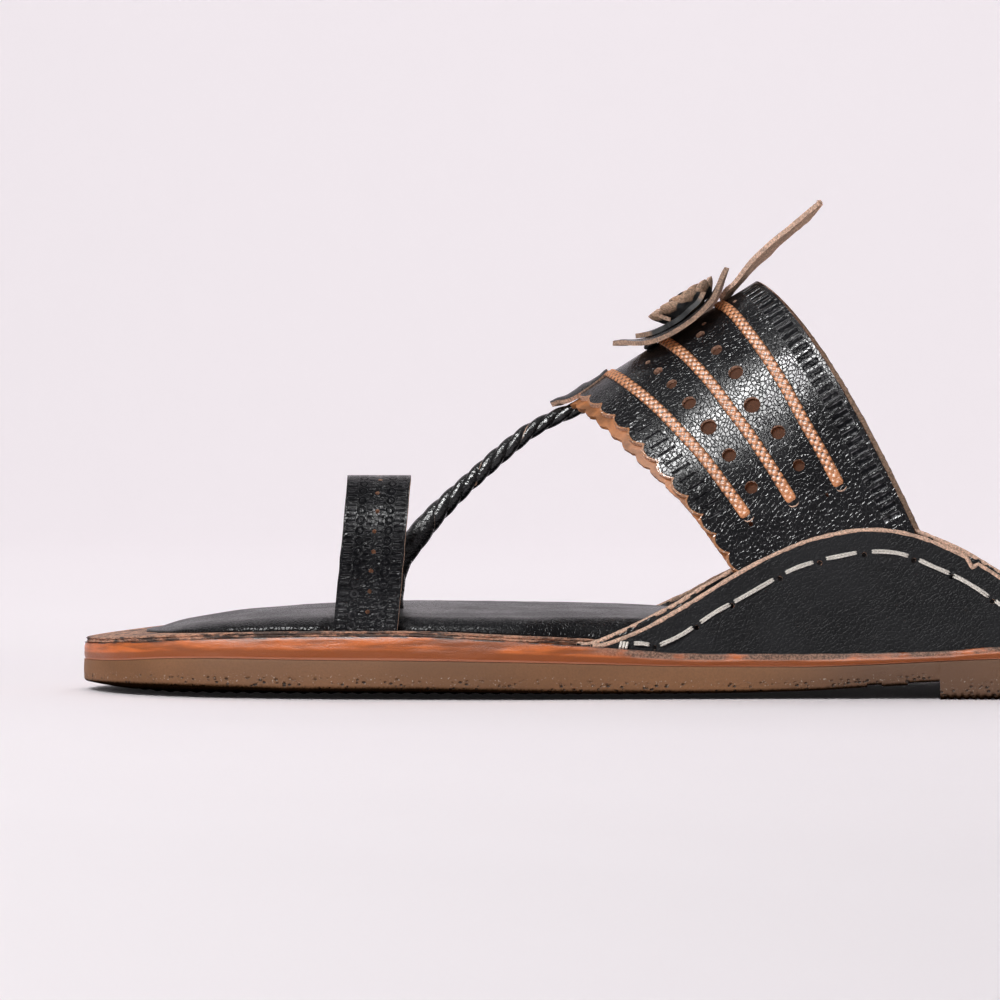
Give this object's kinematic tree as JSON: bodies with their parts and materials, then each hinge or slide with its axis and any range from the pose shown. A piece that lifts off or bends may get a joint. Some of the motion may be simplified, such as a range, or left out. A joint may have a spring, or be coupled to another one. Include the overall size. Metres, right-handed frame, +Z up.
{
  "type": "kolhapuri sandal",
  "caption": "Flat leather toe-loop sandal: padded footbed, wide arched instep band with side wings, twisted toe cord and a leather flower.",
  "frame": {"origin": "on the floor, under the middle of the sandal's box", "axes": "+X towards the heel, +Z up; the inner (medial) side is -Y"},
  "size_m": [0.27, 0.097, 0.1159],
  "materials": {
    "rubber_sole": "matte olive-brown rubber",
    "midsole_leather": "waxed orange-brown vegetable-tanned edge",
    "raw_board": "raw light-brown fibres",
    "footbed_leather": "soft black, semi-gloss",
    "upper_leather": "black, semi-gloss with crackle grain",
    "stamped_leather": "black, stamped with dashes and rings",
    "cord_leather": "glossy black",
    "trim_leather": "black top over raw tan underside",
    "raw_leather": "raw tan suede"
  },
  "bodies": {
    "root": {"outsole": "rubber_sole", "midsole": "midsole_leather", "insole_board": "raw_board", "footbed": "footbed_leather", "upper": "upper_leather", "toe_loop": "stamped_leather", "toe_cord": "cord_leather", "nose_tab": "trim_leather", "flower_base": "trim_leather", "flower_petals": "trim_leather", "flower_coil": "raw_leather", "flower_tail": "raw_leather"}
  },
  "joints": []
}
